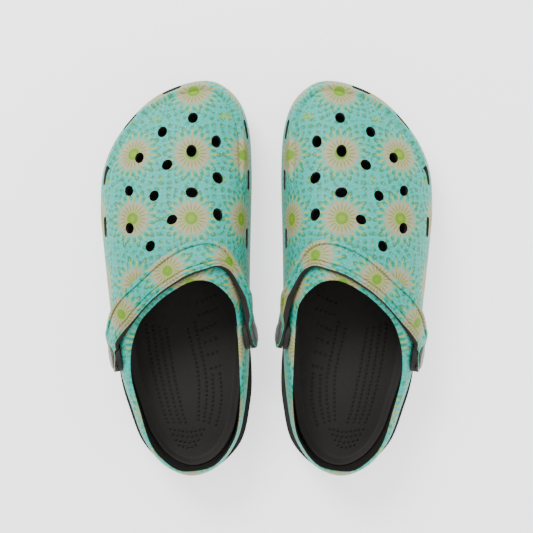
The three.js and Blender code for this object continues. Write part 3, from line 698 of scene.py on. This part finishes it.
STRAP_EDGES = np.array([  # from the outer rivet to the inner one: front x, y, z, then rear x, y, z
    [44, -40, 47, 39, -49, 61], [41.2, -29, 55, 35.2, -42, 65],
    [35.8, -16.5, 64, 28.3, -31.5, 69], [25, -3.2, 72, 16.1, -18, 77],
    [12.5, 8.9, 78, 4.4, -8.7, 84], [-3.9, 20.6, 82, -9.6, 0.2, 88],
    [-23.3, 26.9, 84, -23.3, 5.8, 90], [-36.8, 22.9, 80, -34.2, 8.4, 88],
    [-44.6, 12.8, 75, -41.8, 4.4, 82], [-48.4, 0.8, 67, -46.2, -5.5, 76],
    [-50.6, -14.5, 57, -48.6, -17.5, 68],
], float)
STRAP_WIDTH, STRAP_THICKNESS, STRAP_LIFT, STRAP_END_LIFT = 21.0, 3.8, 0.9, 2.1
STRAP_SEAT = BOSS_PROUD + GAP
skin_t, skin_up = np.meshgrid(np.arange(192) / 192, (np.arange(1, 25) / 24) ** 3, indexing="ij")
skin_t, skin_up = skin_t.ravel(), skin_up.ravel()
skin = upper_surface(skin_t, skin_up)
skin_normal = np.cross(
    upper_surface(skin_t + 1e-4, skin_up) - upper_surface(skin_t - 1e-4, skin_up),
    upper_surface(skin_t, np.minimum(1, skin_up + 1e-3)) - upper_surface(skin_t, np.maximum(0.0001, skin_up - 1e-3)),
)
skin_normal /= np.linalg.norm(skin_normal, axis=1, keepdims=True)


def laid_on_upper(points, lift):
    nearest = np.linalg.norm(points[:, None] - skin, axis=-1).argmin(1)
    above = ((points - skin[nearest]) * skin_normal[nearest]).sum(1)
    return points + skin_normal[nearest] * (lift - above)[:, None]


across = np.linspace(0, 1, 5)
laid_rows, outward_rows = [], []
for i in range(21):
    lift = STRAP_LIFT + STRAP_END_LIFT * (i / 10 - 1) ** 4
    front, rear = np.split(spline(STRAP_EDGES, np.array([i / 20]), closed=False)[0], 2)
    front, rear = laid_on_upper(np.array([front, rear]), lift)
    laid_rows.append(laid_on_upper(front + (rear - front) * across[:, None], lift))
laid_rows = np.array(laid_rows)
for i, row in enumerate(laid_rows):
    out = np.cross(laid_rows[min(20, i + 1), 2] - laid_rows[max(0, i - 1), 2], row[4] - row[0])
    outward_rows.append(out / np.linalg.norm(out))
forward = Vector(np.mean([*spline(STRAP_EDGES, np.array([0.5]), closed=False)[0].reshape(2, 3)], 0)) - outer_wall
forward = (forward - hinge * forward.dot(hinge)).normalized()


def end_rows(name, outward):
    """The flat round end: rows from just past the rivet out to its far edge, each as wide as the end is there, with
    the outward direction of each.
    """
    place, _ = RIVETS[name]
    seat = place @ Vector((0, STRAP_SEAT, 0))
    sideways = outward.cross(forward).normalized()
    sideways = sideways if sideways.z > 0 else -sideways
    rows, outs = [], []
    for back in (0, 0.25, 0.5, 0.7, 0.84, 0.93, 0.98, 1.0):
        half = STRAP_END_RADIUS * math.sqrt(max(1 - back * back, 0.0004))
        middle = seat - forward * STRAP_END_RADIUS * back
        rows.append([middle + sideways * half * (2 * a - 1) for a in across])
        outs.append(outward)
    return np.array(rows), np.array(outs)


first_rows, first_outs = end_rows("outer", hinge)
last_rows, last_outs = end_rows("inner", -hinge)
net = np.concatenate([first_rows[::-1], laid_rows, last_rows])
outs = np.concatenate([first_outs[::-1], outward_rows, last_outs])
lengths = np.concatenate([[0], np.cumsum(np.linalg.norm(np.diff(net[:, 2], axis=0), axis=1))])
# The band's rows come closer together round its ends.
stops = np.concatenate([np.linspace(0, 1, 20)[:-1] ** 1.6 * 11.0, np.linspace(11.0, lengths[-1] - 11.0, 150),
                        lengths[-1] - np.linspace(1, 0, 20)[1:] ** 1.6 * 11.0])
row_share = np.interp(stops, lengths, np.arange(len(net)) / (len(net) - 1))
fine = np.stack([spline(net[:, j], row_share, closed=False) for j in range(5)], 1)
fine_out = spline(outs, row_share, closed=False)
fine_out /= np.linalg.norm(fine_out, axis=1, keepdims=True)
widths = np.linalg.norm(fine[:, 4] - fine[:, 0], axis=1)
RIM_ROUND, FRONT_RIM, REAR_RIM, RECESS = 0.7, 3.0, 4.6, 1.0


def strap_profile():
    """One cross-section as (share across, millimetres from an edge, part of the full thickness) steps."""
    arc = np.linspace(0, math.pi / 2, 5)
    steps = [(a, 0.0, 0.0) for a in np.linspace(0, 1, 13)]
    steps += [(1.0, 0.0, h) for h in (0.3, 0.55)]
    steps += [(1.0, -RIM_ROUND * (1 - math.cos(a)), ("top", -RIM_ROUND * (1 - math.sin(a)))) for a in arc]
    # The steps are closest at the two rims' inner edges.
    marks = [0, 0.04, 0.08, *np.linspace(0.1, 0.2, 11), *np.linspace(0.23, 0.7, 14), *np.linspace(0.72, 0.82, 11),
             0.84, 0.865, *np.linspace(0.88, 0.98, 10), 1]
    steps += [(a, None, ("top", 0.0)) for a in marks[::-1]]
    steps += [(0.0, RIM_ROUND * (1 - math.cos(a)), ("top", -RIM_ROUND * (1 - math.sin(a)))) for a in arc[::-1]]
    steps += [(0.0, 0.0, h) for h in (0.55, 0.3)]
    return steps


profile = strap_profile()
seats = {name: np.array(place @ Vector((0, STRAP_SEAT, 0))) for name, (place, _) in RIVETS.items()}
strap_rings = []
for row, out, width, stop in zip(fine, fine_out, widths, stops):
    name = "outer" if stop < lengths[-1] / 2 else "inner"
    centre, tilt = seats[name], math.tan(RIVETS[name][1])
    ring = []
    middle = row[2]
    from_rivet = np.linalg.norm(middle - centre)
    wedge = 1 - smooth(np.array(from_rivet), 9.0, 19.0)
    for share, edge, height in profile:
        mm = share * width + (edge or 0.0)
        if edge is None:
            mm = RIM_ROUND + (width - 2 * RIM_ROUND) * share if width > 2.2 * RIM_ROUND else share * width
        base = spline(row, np.array(np.clip(mm / max(width, 1e-3), 0, 1)), closed=False)
        thickness = STRAP_THICKNESS + wedge * (centre[2] - base[2]) * tilt
        if isinstance(height, tuple):
            edge_drop = height[1]
            inside = min(mm - FRONT_RIM, width - mm - REAR_RIM)
            grooves = 0.8 * math.exp(-(((inside - 0.4) / 0.4) ** 2))
            grooves += 0.7 * math.exp(-(((width - mm - 2.1) / 0.4) ** 2))
            sink = RECESS * float(smooth(np.array(inside), -0.3, 0.4)) + grooves
            sink *= float(smooth(np.array(from_rivet), 12.0, 16.0))
            rise = thickness + edge_drop * min(1.0, width / 8) - (sink if edge is None else 0.0)
        else:
            rise = thickness * height
        ring.append(base + out * rise)
    strap_rings.append(ring)
strap_rings = np.array(strap_rings)
# Nothing under the strap's ends reaches below the plane of its seat.
for name, (place, _) in RIVETS.items():
    wall, axis = np.array(place.translation), np.array(place.col[1][:3])
    away = strap_rings - wall
    height = (away * axis).sum(-1)
    reach = np.linalg.norm(away - height[..., None] * axis, axis=-1)
    low = (reach < STRAP_END_RADIUS + 1) & (np.abs(height) < 12) & (height < STRAP_SEAT)
    strap_rings += np.where(low, STRAP_SEAT - height, 0)[..., None] * axis
step_slots = [BLACK] * 19 + [PRINT] * (len(profile) - 23) + [BLACK] * 4
strap = mesh_of(strap_rings, "strap", cap=True, slots=step_slots * (len(strap_rings) - 1) + [BLACK] * 2)
cutters = []
HEAD_RADIUS, HEAD_THICKNESS, HEAD_RECESS = 8.5, 2.2, 1.1
for name, (place, tilt) in RIVETS.items():
    seat = Matrix.Translation((0, STRAP_SEAT + STRAP_THICKNESS, 0)) @ Matrix.Rotation(tilt, 4, "Z")
    cutters.append(placed(bar(TUBE_RADIUS + GAP, 0, STRAP_WIDTH, "tube_hole"), place))
    cutters.append(placed(bar(HEAD_RADIUS + GAP, -HEAD_RECESS, 4 * STRAP_THICKNESS, "head_seat"), place @ seat))
for cutter in cutters:
    paint_faces(cutter, BLACK)
strap = cut_or_join(strap, cutters, "DIFFERENCE")


def strap_daisies(places):
    """Daisies down the middle of the strap, at places along it in millimetres from its outer end."""
    shares = np.interp(places, stops, np.arange(len(stops)) / (len(stops) - 1))
    return spline(fine[:, 2], shares, closed=False), spline(fine_out, shares, closed=False)


# The print is cut anywhere on its sheet, so the two straps' daisies don't match.
daisies = {"right": strap_daisies([-2, 42, 88, 134, 180]), "left": strap_daisies([6, 51, 98, 144])}
strap_foams = [foam_print, foam_black]
for_both_clogs(strap, "printed_strap", "heel_strap", strap_foams, "strap", daisies=daisies)

# ---------------------------------------------------------------- the rivets
# A rivet is two grey moulded plastic halves, snapped together through the strap and the upper: a plain round
# button outside, and a capped socket inside the shoe, whose tube the strap turns on.

STEM_RADIUS, CAP_THICKNESS = 2.9, 1.8


def grey_acetal():
    """Injection-moulded acetal: smooth satin grey plastic, with a faint mould grain."""
    material, tree, shader = new_material("grey_acetal")
    speckle = foam_bump(tree, shader, 0.5, 0.12)
    tree.links.new(overlay(tree, "#42403e", "#504e4c", speckle), shader.inputs["Base Color"])
    tree.links.new(sums(tree, "ADD", 0.34, sums(tree, "MULTIPLY", speckle, 0.1)), shader.inputs["Roughness"])
    shader.inputs["IOR"].default_value = 1.48
    return material


acetal = grey_acetal()
cap_face = -UPPER_WALL - GAP
tube_end = STRAP_SEAT + STRAP_THICKNESS / 3
for name, (place, tilt) in RIVETS.items():
    seat = Matrix.Translation((0, STRAP_SEAT + STRAP_THICKNESS, 0)) @ Matrix.Rotation(tilt, 4, "Z")
    face = GAP - HEAD_RECESS
    crown = face + HEAD_THICKNESS
    rim = [(HEAD_RADIUS - 0.9 * (1 - math.sin(a)), crown - 0.9 * (1 - math.cos(a)) - 0.25)
           for a in np.linspace(math.pi / 2, 0, 6)]
    back = [(0.01, face), (HEAD_RADIUS - 0.5, face), (HEAD_RADIUS, face + 0.4)]
    dish = [(HEAD_RADIUS - 1.8, crown - 0.3), (HEAD_RADIUS - 2.6, crown - 0.12), (HEAD_RADIUS / 2, crown - 0.02)]
    head = lathe([*back, *rim, *dish, (0.01, crown)], "head", 72)
    stem = bar(STEM_RADIUS, -UPPER_WALL, STRAP_SEAT + STRAP_THICKNESS, "stem", 0.4)
    button = cut_or_join(placed(head, place @ seat), [placed(stem, place)], "UNION")
    for_both_clogs(button, f"{name}_rivet_head", f"{name}_rivet_button", [acetal], "strap", 50)

    cap_end = cap_face - CAP_THICKNESS
    cap = lathe([(0.01, cap_end), (CAP_RADIUS - 1.2, cap_end), (CAP_RADIUS - 0.3, cap_end + 0.5),
                 (CAP_RADIUS, cap_face - 0.5), (CAP_RADIUS, cap_face), (0.01, cap_face)], "cap")
    tube = bar(TUBE_RADIUS, cap_face - CAP_THICKNESS / 2, tube_end, "tube", 0.3)
    bore = bar(STEM_RADIUS + GAP, -UPPER_WALL - GAP, tube_end + 1, "bore")
    socket = cut_or_join(cut_or_join(cap, [tube], "UNION"), [bore], "DIFFERENCE")
    socket = placed(socket, place)
    for_both_clogs(socket, f"{name}_rivet_cap", f"{name}_rivet_socket", [acetal], "clog", 50)

# ---------------------------------------------------------------- floor, light and camera
# A white studio sweep, glowing a little from behind and lit softly from all round, with the pair seen from
# straight above.

bpy.ops.mesh.primitive_plane_add(size=6, location=(0, 0, -0.0005))
floor = bpy.context.object
floor.name = "floor"
white_card, tree, shader = new_material("white_card")
shader.inputs["Base Color"].default_value = srgb("#f6f6f6")
shader.inputs["Roughness"].default_value = 0.9
shader.inputs["Emission Color"].default_value = (1, 1, 1, 1)
shader.inputs["Emission Strength"].default_value = 1.3
floor.data.materials.append(white_card)

world = bpy.data.worlds.new("studio")
world.use_nodes = True
world.node_tree.nodes["Background"].inputs["Color"].default_value = (1, 1, 1, 1)
world.node_tree.nodes["Background"].inputs["Strength"].default_value = 1.15
bpy.context.scene.world = world


def soft_box(name, place, size, power):
    light = bpy.data.lights.new(name, "AREA")
    light.shape, light.size, light.energy = "DISK", size, power
    obj = bpy.data.objects.new(name, light)
    obj.location = place
    obj.rotation_euler = (Vector((0, 0, 0)) - Vector(place)).to_track_quat("-Z", "Y").to_euler()
    bpy.context.scene.collection.objects.link(obj)


soft_box("overhead", (-0.5, 0.9, 1.3), 0.7, 26)
soft_box("side", (1.3, -0.4, 0.9), 0.8, 5)

eye = bpy.data.cameras.new("camera")
eye.lens, eye.sensor_width = 90, 36
camera = bpy.data.objects.new("camera", eye)
camera.location = (0, 0.0082, 1.015)
bpy.context.scene.collection.objects.link(camera)
bpy.context.scene.camera = camera
